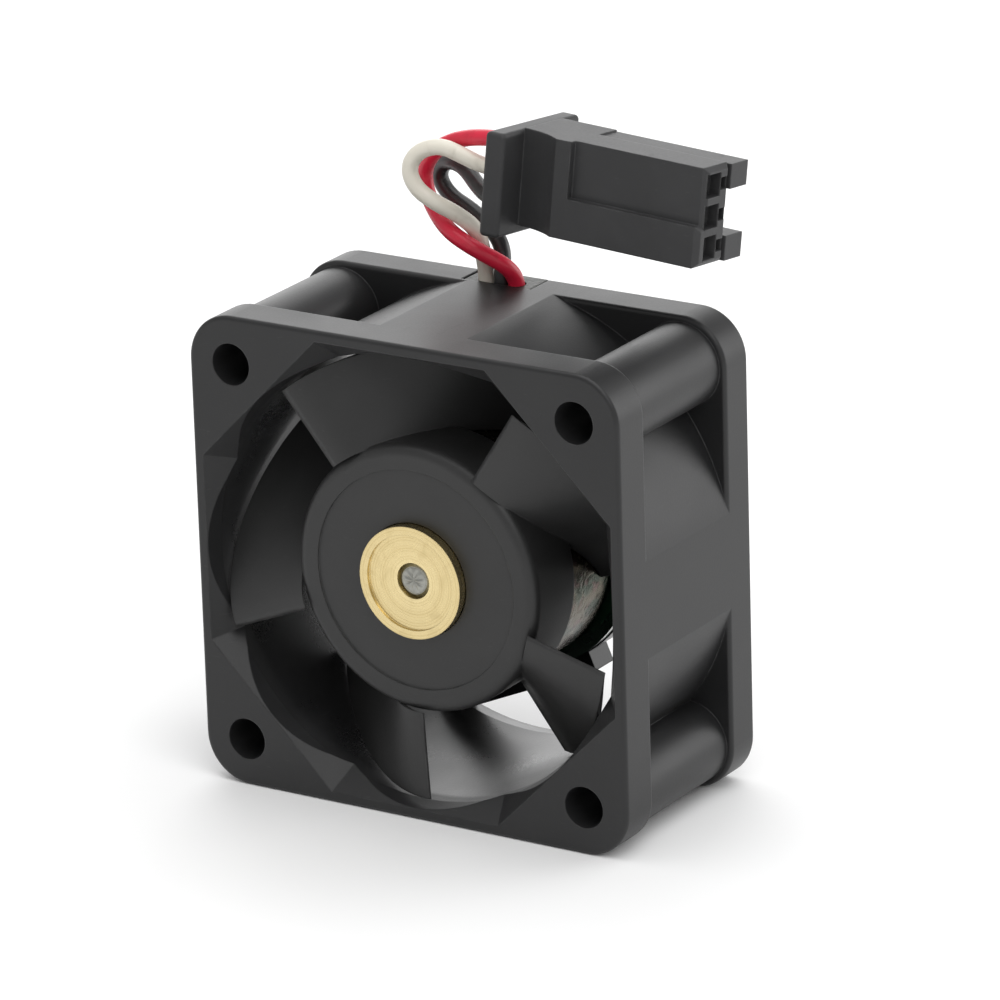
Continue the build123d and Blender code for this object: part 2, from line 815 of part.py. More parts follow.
# Shoulder plate at the cable end
with BuildPart() as shoulder:
    with BuildSketch(connector_level(shoulder_height)):
        with Locations((shoulder_length / 2, shoulder_depth / 2)):
            Rectangle(shoulder_length, shoulder_depth)
    extrude(amount=shoulder_height)
    fillet(shoulder.edges(), shoulder_round)

with BuildPart() as connector_housing:
    # Nose and the body behind it, with a scoop in front next to the shoulder
    with BuildSketch(connector_level(body_bottom)):
        with BuildLine():
            scoop_floor = (shoulder_length, body_front + scoop_depth)
            scoop_end = (shoulder_length + scoop_length, body_front)
            TangentArc(scoop_floor, scoop_end, tangent=(1, 0))
            outline = [
                scoop_floor,
                (shoulder_length, body_back),
                (step_length, body_back),
                (step_length, nose_back),
                (nose_length, nose_back),
                (nose_length, body_front),
                scoop_end,
            ]
            Polyline(*outline)
        make_face()
    extrude(amount=body_bottom + body_top)
    recess_back = body_front + nose_recess
    connector_block((step_length, nose_length), (body_front, recess_back), (-body_top, ledge_top), Mode.SUBTRACT)
    nose_end = connector_housing.faces().sort_by(Axis.X)[-1]
    chamfer(nose_end.edges(), nose_chamfer)
    add(shoulder.part)
    # Two locking rails behind the nose, joined at the body, each with a hook at its end
    rail_front = nose_back + rail_gap
    hook_start = nose_length - hook_length
    for rail_top in (0, body_bottom - rail_height):
        rail_range = (rail_top, rail_top + rail_height)
        connector_block((step_length - rail_root, nose_length), (rail_front, body_back), rail_range)
        connector_block((hook_start, nose_length), (rail_front - hook_overhang, body_back), rail_range)
    # Three cavities, each with a wire hole, a contact chamber, a wide mouth and a key hole
    chamber = contact_size + 2 * fit_gap
    for height in pole_heights:
        with BuildSketch(across_nose(0)):
            with Locations((pole_depth, -height)):
                Circle(wire_hole / 2)
        extrude(amount=wire_run, mode=Mode.SUBTRACT)
        with BuildSketch(across_nose(wire_run)):
            with Locations((chamber_depth, -height)):
                Rectangle(chamber, chamber)
        extrude(amount=nose_length - wire_run, mode=Mode.SUBTRACT)
        with BuildSketch(across_nose(nose_length - mouth_recess)):
            with Locations((chamber_depth, -height)):
                Rectangle(mouth_width, mouth_height)
        extrude(amount=mouth_recess, mode=Mode.SUBTRACT)
        with BuildSketch(across_nose(nose_length - key_recess)):
            with Locations((key_depth, -height)):
                Rectangle(key_size, key_size)
        extrude(amount=key_recess, mode=Mode.SUBTRACT)
save(connector_housing, "connector_housing")

with BuildPart() as contacts:
    for height in pole_heights:
        with BuildSketch(across_nose(wire_run)):
            with Locations((chamber_depth, -height)):
                Rectangle(contact_size, contact_size)
        extrude(amount=nose_length - contact_setback - wire_run)
        with BuildSketch(across_nose(nose_length / 2)):
            with Locations((chamber_depth, -height)):
                Rectangle(contact_bore, contact_bore)
        extrude(amount=nose_length / 2, mode=Mode.SUBTRACT)
save(contacts, "contacts")
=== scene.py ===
"""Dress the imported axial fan: a finish for every solid, modelled small pieces, leads and a studio.

Everything is in metres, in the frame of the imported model: the fan stands on its lower edge,
its rotor side faces -Y, the shaft lies along Y and Z is up. Depths are counted backwards
from the front face of the housing and radii from the shaft axis.
"""

import logging
from dataclasses import dataclass
from enum import Enum
from math import pi, radians
from typing import Any, Sequence

import bmesh
import bpy
import numpy as np
from mathutils import Euler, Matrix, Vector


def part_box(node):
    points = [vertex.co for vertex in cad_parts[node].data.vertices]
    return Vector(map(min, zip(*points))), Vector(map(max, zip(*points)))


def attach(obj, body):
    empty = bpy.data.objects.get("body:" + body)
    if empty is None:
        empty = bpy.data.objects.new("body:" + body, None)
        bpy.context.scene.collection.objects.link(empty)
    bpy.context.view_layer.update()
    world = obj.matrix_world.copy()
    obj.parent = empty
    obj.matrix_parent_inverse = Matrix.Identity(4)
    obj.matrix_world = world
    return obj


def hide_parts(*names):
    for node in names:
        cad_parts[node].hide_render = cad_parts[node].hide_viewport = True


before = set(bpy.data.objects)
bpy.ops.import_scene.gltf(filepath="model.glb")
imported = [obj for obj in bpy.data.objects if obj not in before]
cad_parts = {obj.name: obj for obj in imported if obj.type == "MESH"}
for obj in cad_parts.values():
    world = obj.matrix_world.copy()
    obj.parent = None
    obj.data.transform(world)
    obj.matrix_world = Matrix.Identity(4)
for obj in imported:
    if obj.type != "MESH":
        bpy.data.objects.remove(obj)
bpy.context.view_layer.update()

log = logging.getLogger("fan")

MM = 0.001
HOUSING_LOW, HOUSING_HIGH = (np.array(corner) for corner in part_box("frame"))
AXIS_HEIGHT = float(HOUSING_LOW[2] + HOUSING_HIGH[2]) / 2
FRONT = float(HOUSING_LOW[1])
MERGE_WITHIN = 1e-7

Colour = tuple[float, float, float]
Point = tuple[float, float, float]


class Body(Enum):
    """Names of the rigid bodies that pieces ride on."""

    HOUSING = "housing"
    ROTOR = "rotor"


# Shader maths


class Signal:
    """A shader value; arithmetic on it adds Math nodes to its shader."""

    def __init__(self, shader: "Shader", socket: bpy.types.NodeSocket) -> None:
        """Wrap a socket.

        Args:
            shader: The shader that new nodes are added to.
            socket: The output that carries the value.
        """
        self.shader = shader
        self.socket = socket

    def _math(self, operation: str, *values: Any) -> "Signal":
        """Add a Math node.

        Args:
            operation: The node's operation.
            *values: Signals or numbers, in the order of the node's inputs.

        Returns:
            The node's result.
        """
        inputs = dict(enumerate(values))
        node = self.shader.node("ShaderNodeMath", {"operation": operation}, inputs)
        return Signal(self.shader, node.outputs[0])

    def __add__(self, other: Any) -> "Signal":
        """Sum with another value."""
        return self._math("ADD", self, other)

    __radd__ = __add__

    def __mul__(self, other: Any) -> "Signal":
        """Product with another value."""
        return self._math("MULTIPLY", self, other)

    __rmul__ = __mul__

    def __sub__(self, other: Any) -> "Signal":
        """Difference from another value."""
        return self._math("SUBTRACT", self, other)

    def __rsub__(self, other: Any) -> "Signal":
        """Another value minus this one."""
        return self._math("SUBTRACT", other, self)

    def __pow__(self, other: Any) -> "Signal":
        """Power of this value."""
        return self._math("POWER", self, other)

    def sine(self) -> "Signal":
        """Sine of this value in radians."""
        return self._math("SINE", self)

    def waves(self, pitch: float) -> "Signal":
        """Sine with a full period each time this value grows by a pitch.

        Args:
            pitch: The period, in the unit of this value.

        Returns:
            Waves from -1 to 1.
        """
        return (self * (2 * pi / pitch)).sine()

    def ridges(self, pitch: float) -> "Signal":
        """Waves raised to the range from 0 to 1.

        Args:
            pitch: The period, in the unit of this value.

        Returns:
            Ridges from 0 to 1.
        """
        return self.waves(pitch) * 0.5 + 0.5

    def step(self, low: float, high: float) -> "Signal":
        """Smooth step from 0 at one value to 1 at another.

        Args:
            low: The value that gives 0.
            high: The value that gives 1.

        Returns:
            The stepped value.
        """
        settings = {"interpolation_type": "SMOOTHSTEP"}
        inputs = {"Value": self, "From Min": low, "From Max": high}
        node = self.shader.node("ShaderNodeMapRange", settings, inputs)
        return Signal(self.shader, node.outputs["Result"])


class Shader:
    """A node material with one Principled surface."""

    def __init__(self, name: str) -> None:
        """Start an empty material.

        Args:
            name: The name of the material.
        """
        self.material = bpy.data.materials.new(name)
        self.material.use_nodes = True
        self.tree = self.material.node_tree
        self.surface = self.tree.nodes["Principled BSDF"]

    def node(self, kind: str, settings: dict[str, Any], inputs: dict[Any, Any]) -> bpy.types.Node:
        """Add one node.

        Args:
            kind: The node's type.
            settings: Its own properties, set first.
            inputs: Values, signals or sockets for its inputs, by name or number.

        Returns:
            The new node.
        """
        made = self.tree.nodes.new(kind)
        for key, value in settings.items():
            setattr(made, key, value)
        for key, value in inputs.items():
            self._fill(made.inputs[key], value)
        return made

    def _fill(self, target: bpy.types.NodeSocket, value: Any) -> None:
        """Link or set one input.

        Args:
            target: The input.
            value: A signal, a socket or a constant.
        """
        if isinstance(value, Signal):
            value = value.socket
        if isinstance(value, bpy.types.NodeSocket):
            self.tree.links.new(value, target)
        elif target.type == "RGBA" and len(value) == 3:
            target.default_value = (*value, 1.0)
        else:
            target.default_value = value

    def feed(self, **inputs: Any) -> None:
        """Set or link inputs of the surface; underscores stand for spaces."""
        for key, value in inputs.items():
            self._fill(self.surface.inputs[key.replace("_", " ")], value)

    def place(self) -> bpy.types.NodeSocket:
        """Object coordinates."""
        return self.node("ShaderNodeTexCoord", {}, {}).outputs["Object"]

    def axes(self) -> tuple[Signal, Signal, Signal]:
        """The three object coordinates as separate values."""
        parts = self.node("ShaderNodeSeparateXYZ", {}, {0: self.place()})
        return tuple(Signal(self, socket) for socket in parts.outputs)

    def radius(self) -> Signal:
        """Distance from the shaft axis in metres."""
        across, _, up = self.axes()
        raised = up - AXIS_HEIGHT
        return (across * across + raised * raised) ** 0.5

    def angle(self) -> Signal:
        """Angle about the shaft axis in radians."""
        across, _, up = self.axes()
        return across._math("ARCTAN2", up - AXIS_HEIGHT, across)

    def stretched(self, scale: Point) -> bpy.types.NodeSocket:
        """Object coordinates times a factor on each axis."""
        inputs = {"Vector": self.place(), "Scale": scale}
        return self.node("ShaderNodeMapping", {}, inputs).outputs[0]

    def noise(
        self, size: float, detail: float = 2.0, where: Any = None, twist: float = 0.0
    ) -> Signal:
        """Smooth noise about 0.5.

        Args:
            size: Size of its features in metres.
            detail: Number of finer layers.
            where: Coordinates, or None for object coordinates.
            twist: Distortion of the pattern.

        Returns:
            The noise value.
        """
        inputs = {
            "Vector": where or self.place(),
            "Scale": 1 / size,
            "Detail": detail,
            "Distortion": twist,
        }
        return Signal(self, self.node("ShaderNodeTexNoise", {}, inputs).outputs[0])

    def blend(self, factor: Any, first: Any, second: Any) -> bpy.types.NodeSocket:
        """Mix two colours.

        Args:
            factor: Share of the second colour.
            first: Colour or socket.
            second: Colour or socket.

        Returns:
            The mixed colour.
        """
        settings = {"data_type": "RGBA"}
        node = self.node("ShaderNodeMix", settings, {0: factor, 6: first, 7: second})
        return node.outputs[2]

    def relief(
        self, height: Signal, distance: float, strength: float = 1.0, normal: Any = None
    ) -> bpy.types.NodeSocket:
        """Bump from a height.

        Args:
            height: The height, about 0 to 1.
            distance: Real height in metres that 1 stands for.
            strength: Share of the effect.
            normal: A normal to build on, or None.

        Returns:
            The bumped normal.
        """
        inputs = {"Strength": strength, "Distance": distance, "Height": height}
        if normal is not None:
            inputs["Normal"] = normal
        return self.node("ShaderNodeBump", {}, inputs).outputs[0]

    def softened(self, radius: float) -> bpy.types.NodeSocket:
        """Normal that rounds sharp edges by a radius in metres."""
        return self.node("ShaderNodeBevel", {"samples": 6}, {"Radius": radius}).outputs[0]

    def edges(self, softened: bpy.types.NodeSocket) -> Signal:
        """Mask of sharp edges: how far a softened normal leans from the true one.

        Args:
            softened: Normal from softened().

        Returns:
            About 0 on flats and up to 0.3 on edges.
        """
        true = self.node("ShaderNodeNewGeometry", {}, {}).outputs["Normal"]
        settings = {"operation": "DOT_PRODUCT"}
        node = self.node("ShaderNodeVectorMath", settings, {0: softened, 1: true})
        return 1.0 - Signal(self, node.outputs["Value"])


# Finishes


@dataclass(frozen=True)
class Finish:
    """Base of all finishes: it makes a material and puts it on objects."""

    name: str

    def material(self) -> bpy.types.Material:
        """Make the material once and reuse it."""
        title = f"{self.name}_finish"
        made = bpy.data.materials.get(title)
        if made is None:
            shader = Shader(title)
            self.paint(shader)
            made = shader.material
        return made

    def paint(self, shader: Shader) -> None:
        """Build the surface; each finish has its own."""
        raise NotImplementedError

    def dress(self, *pieces: bpy.types.Object) -> None:
        """Put the material on every slot of the pieces."""
        for piece in pieces:
            if not piece.material_slots:
                piece.data.materials.append(self.material())
            for socket in piece.material_slots:
                socket.material = self.material()


@dataclass(frozen=True)
class MouldedPlastic(Finish):
    """Moulded plastic: fine grain, cloudy gloss, lighter edges that are partly rubbed wear and
    partly painted highlight, and a polished bore.
    """

    colour: Colour
    rubbed_and_lit: Colour
    roughness: float = 0.42
    grain: float = 0.16 * MM
    grain_height: float = 0.006 * MM
    cloud: float = 7.0 * MM
    cloud_tone: float = 1.22
    edge_round: float = 0.16 * MM
    worn_lit_patch: float = 1.2 * MM
    scuff: float = 0.9 * MM
    scuff_stretch: Point = (1.0, 0.25, 4.0)
    wear_and_highlight: float = 0.5
    bore: float = 0.0
    bore_blend: float = 0.3 * MM
    bore_start: float = 2.4 * MM
    start_blend: float = 0.8 * MM
    polish: float = 0.12
    specular: float = 0.5

    def paint(self, shader: Shader) -> None:
        """Grain as bump, clouds in colour and gloss, and lighter edges: partly rubbed wear, partly
        painted highlight.

        Inside the bore, and behind its mouth, the gloss is higher.
        """
        soft = shader.softened(self.edge_round)
        # Lighter edges: partly rubbed wear and partly a painted highlight along the edges
        rub_and_highlight = shader.edges(soft).step(0.01, 0.16)
        rub_and_highlight = rub_and_highlight * shader.noise(self.worn_lit_patch, 3.0).step(0.35, 0.7)
        clouds = shader.noise(self.cloud, 3.0, twist=0.4)
        grain = shader.noise(self.grain, 1.5)
        scuffs = shader.noise(self.scuff, 4.0, shader.stretched(self.scuff_stretch))
        scuffs = scuffs.step(0.66, 0.74)
        lighter = tuple(self.cloud_tone * channel for channel in self.colour)
        base = shader.blend(clouds.step(0.35, 0.7), self.colour, lighter)
        base = shader.blend(scuffs * 0.10, base, self.rubbed_and_lit)
        # Painted edge highlight mixed with rubbed wear
        base = shader.blend(rub_and_highlight * self.wear_and_highlight, base, self.rubbed_and_lit)
        inside = 1.0 - shader.radius().step(self.bore, self.bore + self.bore_blend)
        depth = shader.axes()[1] - FRONT
        behind = depth.step(self.bore_start, self.bore_start + self.start_blend)
        sheen = self.roughness - self.polish * inside * behind
        shader.feed(
            Base_Color=base,
            Roughness=sheen + (clouds - 0.5) * 0.16 + (grain - 0.5) * 0.10 + scuffs * 0.06,
            Specular_IOR_Level=self.specular,
            Normal=shader.relief(grain, self.grain_height, 1.0, soft),
        )


@dataclass(frozen=True)
class TurnedMetal(Finish):
    """Metal turned on a lathe: fine rings about the shaft axis, a little tarnish, and painted shade
    that darkens it outwards from the shaft.
    """

    colour: Colour
    tarnish_and_shade: Colour
    roughness: float = 0.24
    pitch: float = 0.23 * MM
    ring_height: float = 0.0030 * MM
    wide_ratio: float = 3.7
    drift_size: float = 0.8 * MM
    drift: float = 2.0
    stain_size: float = 1.6 * MM
    shade_from: float = 1.3 * MM
    shade_to: float = 2.9 * MM
    outward_shade: float = 0.22
    edge_round: float = 0.08 * MM

    def paint(self, shader: Shader) -> None:
        """Rings from the sine of the radius, broken up by noise, and darker outwards as painted
        shade.
        """
        radius = shader.radius()
        drift = shader.noise(self.drift_size, 2.0)
        rings = (radius * (2 * pi / self.pitch) + drift * self.drift).sine() * 0.5 + 0.5
        wide = radius.ridges(self.pitch * self.wide_ratio)
        stain = shader.noise(self.stain_size, 4.0, twist=1.0).step(0.45, 0.8)
        # Painted shade: darker away from the shaft, standing in for light on the dished face; the
        # stains are tarnish, and the ring tone is tool marks with painted concentric shade in the
        # wide rings
        outer = radius.step(self.shade_from, self.shade_to) * self.outward_shade
        tarnish_and_shade_mix = stain * 0.14 + rings * wide * 0.22 + outer
        height = rings * 0.6 + wide * 0.4
        soft = shader.softened(self.edge_round)
        shader.feed(
            Base_Color=shader.blend(tarnish_and_shade_mix, self.colour, self.tarnish_and_shade),
            Metallic=1.0,
            Roughness=self.roughness + rings * 0.06 + stain * 0.10,
            Normal=shader.relief(height, self.ring_height, 1.0, soft),
        )


@dataclass(frozen=True)
class PassivatedSteel(Finish):
    """Zinc with a yellow passivation: mottled tan, green and pink over bright metal."""

    tan: Colour = (0.115, 0.10, 0.07)
    green: Colour = (0.040, 0.055, 0.036)
    pink: Colour = (0.12, 0.065, 0.06)
    dark: Colour = (0.06, 0.055, 0.04)
    green_size: float = 3.4 * MM
    pink_size: float = 2.1 * MM
    spot_size: float = 0.5 * MM
    dent_size: float = 0.9 * MM
    dent_height: float = 0.05 * MM
    edge_round: float = 0.3 * MM
    roughness: float = 0.24

    def paint(self, shader: Shader) -> None:
        """Two layers of noise choose the tint; a third darkens and dulls it in spots."""
        first = shader.noise(self.green_size, 3.0, twist=1.5).step(0.40, 0.62)
        second = shader.noise(self.pink_size, 3.0, twist=2.0).step(0.48, 0.66)
        spots = shader.noise(self.spot_size, 3.0).step(0.55, 0.75)
        base = shader.blend(first, self.tan, self.green)
        base = shader.blend(second * 0.8, base, self.pink)
        base = shader.blend(spots * 0.5, base, self.dark)
        dents = shader.noise(self.dent_size, 3.0, twist=0.8)
        soft = shader.softened(self.edge_round)
        shader.feed(
            Base_Color=base,
            Metallic=0.95,
            Roughness=self.roughness + spots * 0.16,
            Normal=shader.relief(dents, self.dent_height, 1.0, soft),
        )


@dataclass(frozen=True)
class Steel(Finish):
    """Bare steel: ground along the turn, with a thin film of oil."""

    colour: Colour = (0.56, 0.56, 0.54)
    roughness: float = 0.28
    pitch: float = 0.07 * MM
    line_height: float = 0.0012 * MM
    drift_size: float = 0.5 * MM
    oil_size: float = 1.5 * MM
    oil_tone: float = 0.72
    edge_round: float = 0.05 * MM

    def paint(self, shader: Shader) -> None:
        """Fine lines round the axis in gloss and bump, and oil patches."""
        drift = shader.noise(self.drift_size) * 3.0
        rings = (shader.radius() * (2 * pi / self.pitch) + drift).sine()
        oil = shader.noise(self.oil_size, 3.0).step(0.45, 0.7)
        dull = tuple(self.oil_tone * channel for channel in self.colour)
        soft = shader.softened(self.edge_round)
        shader.feed(
            Base_Color=shader.blend(oil * 0.5, self.colour, dull),
            Metallic=1.0,
            Roughness=self.roughness + rings * 0.04 + oil * 0.08,
            Normal=shader.relief(rings * 0.5 + 0.5, self.line_height, 1.0, soft),
        )


@dataclass(frozen=True)
class StackedSheet(Finish):
    """Stack of thin electrical steel sheets with a dark varnish."""

    sheet: float = 0.35 * MM
    groove: float = 0.02 * MM
    patch: float = 0.6 * MM
    varnish: Colour = (0.10, 0.10, 0.11)
    bare: Colour = (0.36, 0.36, 0.36)

    def paint(self, shader: Shader) -> None:
        """Sheet edges as lines along the depth."""
        _, depth, _ = shader.axes()
        lines = depth.ridges(self.sheet)
        bright = shader.noise(self.patch, 3.0).step(0.4, 0.7)
        shader.feed(
            Base_Color=shader.blend(bright * lines, self.varnish, self.bare),
            Metallic=0.8,
            Roughness=0.45 - bright * 0.12,
            Normal=shader.relief(lines, self.groove),
        )


@dataclass(frozen=True)
class EnamelledWire(Finish):
    """Copper wire under clear enamel."""

    copper: Colour = (0.72, 0.26, 0.09)
    dark: Colour = (0.50, 0.15, 0.05)
    patch: float = 1.0 * MM

    def paint(self, shader: Shader) -> None:
        """Warm copper that darkens in patches."""
        patch = shader.noise(self.patch, 3.0).step(0.4, 0.7)
        shader.feed(
            Base_Color=shader.blend(patch, self.copper, self.dark),
            Metallic=0.85,
            Roughness=0.28 + patch * 0.1,
            Coat_Weight=0.6,
            Coat_Roughness=0.12,
        )


@dataclass(frozen=True)
class WireInsulation(Finish):
    """Soft extruded insulation: slight sheen, faint waviness and handling marks."""

    colour: Colour
    shade: Colour
    roughness: float = 0.34
    wave: float = 0.9 * MM
    wave_height: float = 0.02 * MM
    mark: float = 2.2 * MM

    def paint(self, shader: Shader) -> None:
        """Faint waviness and darker handling marks."""
        wave = shader.noise(self.wave, 3.0)
        marks = shader.noise(self.mark, 4.0, twist=0.8).step(0.52, 0.78)
        shader.feed(
            Base_Color=shader.blend(marks * 0.7 + wave * 0.15, self.colour, self.shade),
            Roughness=self.roughness + wave * 0.08 + marks * 0.08,
            Coat_Weight=0.12,
            Coat_Roughness=0.25,
            Normal=shader.relief(wave, self.wave_height, 0.6),
        )


@dataclass(frozen=True)
class VarnishedBoard(Finish):
    """Green circuit board under glossy varnish, with bands of copper below the mask."""

    mask: Colour = (0.012, 0.040, 0.022)
    track: Colour = (0.022, 0.075, 0.038)
    track_pitch: float = 1.7 * MM
    gap_count: float = 9.0
    pool: float = 2.5 * MM
    height: float = 0.05 * MM

    def paint(self, shader: Shader) -> None:
        """Ring-shaped tracks cut by radial gaps, under a wavy clear coat."""
        rings = shader.radius().waves(self.track_pitch).step(-0.1, 0.1)
        gaps = (shader.angle() * self.gap_count).sine().step(-0.75, -0.6)
        tracks = rings * gaps
        pools = shader.noise(self.pool, 2.0)
        shader.feed(
            Base_Color=shader.blend(tracks, self.mask, self.track),
            Roughness=0.22 + pools * 0.12,
            Coat_Weight=0.8,
            Coat_Roughness=0.06,
            Normal=shader.relief(pools * 0.7 + tracks * 0.3, self.height),
        )


@dataclass(frozen=True)
class CastPiece(Finish):
    """Plain small piece of one substance: magnet, nylon, epoxy, ceramic, resin or solder."""

    colour: Colour
    speck: Colour
    roughness: float
    metallic: float = 0.0
    coat: float = 0.0
    size: float = 0.5 * MM
    height: float = 0.01 * MM
    edge_round: float = 0.06 * MM

    def paint(self, shader: Shader) -> None:
        """Specks in colour, gloss and relief."""
        specks = shader.noise(self.size, 4.0, twist=0.5)
        soft = shader.softened(self.edge_round)
        shader.feed(
            Base_Color=shader.blend(specks.step(0.42, 0.72), self.colour, self.speck),
            Metallic=self.metallic,
            Roughness=self.roughness + (specks - 0.5) * 0.2,
            Coat_Weight=self.coat,
            Coat_Roughness=0.1,
            Normal=shader.relief(specks, self.height, 0.8, soft),
        )


CHARCOAL = MouldedPlastic(
    "housing_plastic",
    (0.015, 0.015, 0.0155),
    (0.10, 0.10, 0.10),
    roughness=0.42,
    bore=18.9 * MM,
    specular=0.40,
)
CHARCOAL_HUB = MouldedPlastic(
    "impeller_plastic",
    (0.021, 0.021, 0.021),
    (0.09, 0.09, 0.09),
    roughness=0.44,
    wear_and_highlight=0.3,
    specular=0.42,
)
CONNECTOR_BLACK = MouldedPlastic(
    "connector_plastic",
    (0.036, 0.036, 0.037),
    (0.14, 0.14, 0.14),
    roughness=0.50,
    grain=0.22 * MM,
    edge_round=0.20 * MM,
    wear_and_highlight=0.35,
    specular=0.26,
)
BOSS_BRASS = TurnedMetal("boss_brass", (0.80, 0.66, 0.36), (0.46, 0.34, 0.14), roughness=0.24)
TUBE_BRASS = TurnedMetal("turned_brass", (0.55, 0.43, 0.22), (0.36, 0.26, 0.12), roughness=0.3)
YOKE_ZINC = PassivatedSteel("yoke_steel")
GROUND_STEEL = Steel("ground_steel")
SHAFT_STEEL = Steel("shaft_steel", (0.34, 0.34, 0.31), 0.34)
SPRING_STEEL = Steel("spring_steel", (0.34, 0.34, 0.36), 0.36)
BALL_STEEL = Steel("ball_steel", (0.78, 0.78, 0.78), 0.08)
SHEET_STACK = StackedSheet("stator_steel")
COPPER = EnamelledWire("winding_copper")
BOARD = VarnishedBoard("board")
MAGNET = CastPiece("magnet", (0.045, 0.045, 0.05), (0.08, 0.08, 0.085), 0.6)
NYLON = CastPiece("insulator_plastic", (0.66, 0.63, 0.54), (0.72, 0.70, 0.62), 0.45)
EPOXY = CastPiece("chip_black", (0.018, 0.018, 0.018), (0.035, 0.035, 0.035), 0.55, size=0.12 * MM)
CERAMIC = CastPiece("capacitor_ceramic", (0.40, 0.30, 0.19), (0.48, 0.38, 0.26), 0.4)
SOLDER = CastPiece("solder", (0.62, 0.62, 0.61), (0.50, 0.50, 0.50), 0.22, 1.0)
TIN = CastPiece("contact_tin", (0.58, 0.58, 0.56), (0.46, 0.46, 0.45), 0.30, 1.0)
RESIN = CastPiece(
    "sealant",
    (0.020, 0.023, 0.018),
    (0.045, 0.050, 0.038),
    0.50,
    coat=0.05,
    height=0.12 * MM,
)
RED_WIRE = WireInsulation("wire_red", (0.72, 0.014, 0.050), (0.50, 0.008, 0.030))
WHITE_WIRE = WireInsulation("wire_white", (0.80, 0.76, 0.66), (0.60, 0.56, 0.47))
BLACK_WIRE = WireInsulation("wire_black", (0.022, 0.022, 0.023), (0.045, 0.045, 0.045))

FINISH_OF_NODE: dict[str, Finish] = {
    "frame": CHARCOAL,
    "impeller": CHARCOAL_HUB,
    "hub_boss": BOSS_BRASS,
    "shaft": SHAFT_STEEL,
    "rotor_yoke": YOKE_ZINC,
    "magnet_ring": MAGNET,
    "bearing_tube": TUBE_BRASS,
    "front_outer_race": GROUND_STEEL,
    "rear_outer_race": GROUND_STEEL,
    "front_inner_race": GROUND_STEEL,
    "rear_inner_race": GROUND_STEEL,
    "front_balls": BALL_STEEL,
    "rear_balls": BALL_STEEL,
    "front_cage": SPRING_STEEL,
    "rear_cage": SPRING_STEEL,
    "front_shields": GROUND_STEEL,
    "rear_shields": GROUND_STEEL,
    "shaft_washers": GROUND_STEEL,
    "retaining_ring": SPRING_STEEL,
    "preload_spring": SPRING_STEEL,
    "stator_core": SHEET_STACK,
    "front_insulator": NYLON,
    "rear_insulator": NYLON,
    "coils": COPPER,
    "terminal_pins": TIN,
    "circuit_board": BOARD,
    "hall_sensor": EPOXY,
    "driver_chip": EPOXY,
    "capacitor": CERAMIC,
    "resistors": EPOXY,
    "solder_joints": SOLDER,
    "lead_sealant": RESIN,
    "inner_lead_white": WHITE_WIRE,
    "inner_lead_black": BLACK_WIRE,
    "inner_lead_red": RED_WIRE,
    "connector_housing": CONNECTOR_BLACK,
    "contacts": TIN,
}


# Surfaces


def surface(name: str, *grids: np.ndarray) -> bpy.types.Object:
    """Make one object from grids of points.

    In each grid, neighbouring rows are joined by four-sided faces, and the last point of a row
    joins its first, so each row is a closed ring.

    Args:
        name: Name of the object.
        *grids: Arrays of rows, points in a row and x, y, z in metres.

    Returns:
        The new object, linked to the scene.
    """
    points, faces, first = [], [], 0
    for grid in grids:
        rows, columns = grid.shape[:2]
        index = np.arange(rows * columns).reshape(rows, columns) + first
        index = np.hstack([index, index[:, :1]])
        corners = (index[:-1, :-1], index[:-1, 1:], index[1:, 1:], index[1:, :-1])
        faces.append(np.stack([corner.ravel() for corner in corners], axis=1))
        points.append(grid.reshape(-1, 3))
        first += rows * columns
    return mesh_object(name, np.concatenate(points), np.concatenate(faces))


def mesh_object(name: str, points: np.ndarray, faces: np.ndarray) -> bpy.types.Object:
    """Make a smooth mesh object, with doubled points merged and faces turned outwards.

    Args:
        name: Name of the object.
        points: Array of x, y, z in metres.
        faces: Array of four point numbers for each face.

    Returns:
        The new object, linked to the scene.
    """
    mesh = bpy.data.meshes.new(name)
    mesh.from_pydata(points.tolist(), [], faces.tolist())
    work = bmesh.new()
    work.from_mesh(mesh)
    bmesh.ops.remove_doubles(work, verts=work.verts, dist=MERGE_WITHIN)
    bmesh.ops.dissolve_degenerate(work, edges=work.edges, dist=MERGE_WITHIN / 10)
    bmesh.ops.recalc_face_normals(work, faces=work.faces)
    work.to_mesh(mesh)
    work.free()
    mesh.shade_smooth()
    made = bpy.data.objects.new(name, mesh)
    bpy.context.scene.collection.objects.link(made)
    return made


def tube(path: np.ndarray, radius: float, sides: int, up: np.ndarray) -> np.ndarray:
    """Grid of a tube along a path.

    At each path point a circle is drawn square to the path, its start turned towards up.

    Args:
        path: Array of points.
        radius: Radius of the tube.
        sides: Points round it.
        up: Array of directions, one for each point, not along the path.

    Returns:
        Grid of path points by sides by 3.
    """
    along = np.gradient(path, axis=0)
    along /= np.linalg.norm(along, axis=1, keepdims=True)
    side = np.cross(along, up)
    side /= np.linalg.norm(side, axis=1, keepdims=True)
    over = np.cross(side, along)
    turn = np.linspace(0, 2 * pi, sides, endpoint=False)[None, :, None]
    return path[:, None, :] + radius * (np.cos(turn) * side[:, None] + np.sin(turn) * over[:, None])


def seat(piece: bpy.types.Object, body: Body, finish: Finish) -> bpy.types.Object:
    """Finish a new piece: its body, material slot and material.

    Args:
        piece: The piece.
        body: The rigid body that carries it.
        finish: Its finish.

    Returns:
        The piece.
    """
    finish.dress(piece)
    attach(piece, body.value)
    log.info("%s rides on %s", piece.name, body.value)
    return piece


# Sub-assemblies


